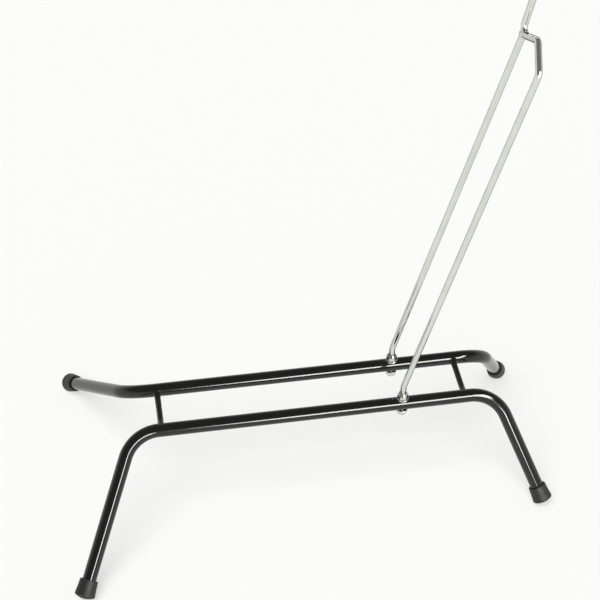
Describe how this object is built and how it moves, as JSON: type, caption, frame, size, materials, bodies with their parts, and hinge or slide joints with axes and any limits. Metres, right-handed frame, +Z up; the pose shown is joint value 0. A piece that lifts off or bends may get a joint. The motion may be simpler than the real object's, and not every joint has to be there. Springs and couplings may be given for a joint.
{
  "type": "floor bike rack",
  "caption": "Floor rack of bent black tubes with a leaning chrome wire hoop that holds a bicycle upright by its rear wheel.",
  "frame": {"origin": "on the floor, under the middle of the rack's outline and midway between its two rails", "axes": "+X along the rails, towards the side that the hoop leans to; +Y across the rails, away from the side that the picture was taken from; +Z up"},
  "size_m": [0.6518, 0.4042, 0.7922],
  "materials": {
    "black_enamel": "gloss black baked enamel on steel",
    "foot_rubber": "moulded black rubber, dull",
    "chrome_wire": "bright chrome plate on steel wire",
    "zinc_fasteners": "bright zinc plate"
  },
  "bodies": {
    "root": {"near_side_tube": "black_enamel", "far_side_tube": "black_enamel", "near_left_foot": "foot_rubber", "near_right_foot": "foot_rubber", "far_left_foot": "foot_rubber", "far_right_foot": "foot_rubber", "left_cross_rod": "black_enamel", "right_cross_rod": "black_enamel", "hoop_wire": "chrome_wire", "far_hoop_rod": "chrome_wire", "near_top_nut": "zinc_fasteners", "near_low_nut": "zinc_fasteners", "far_top_nut": "zinc_fasteners", "far_low_nut": "zinc_fasteners", "near_top_washer": "zinc_fasteners", "near_low_washer": "zinc_fasteners", "far_top_washer": "zinc_fasteners", "far_low_washer": "zinc_fasteners"}
  },
  "joints": []
}
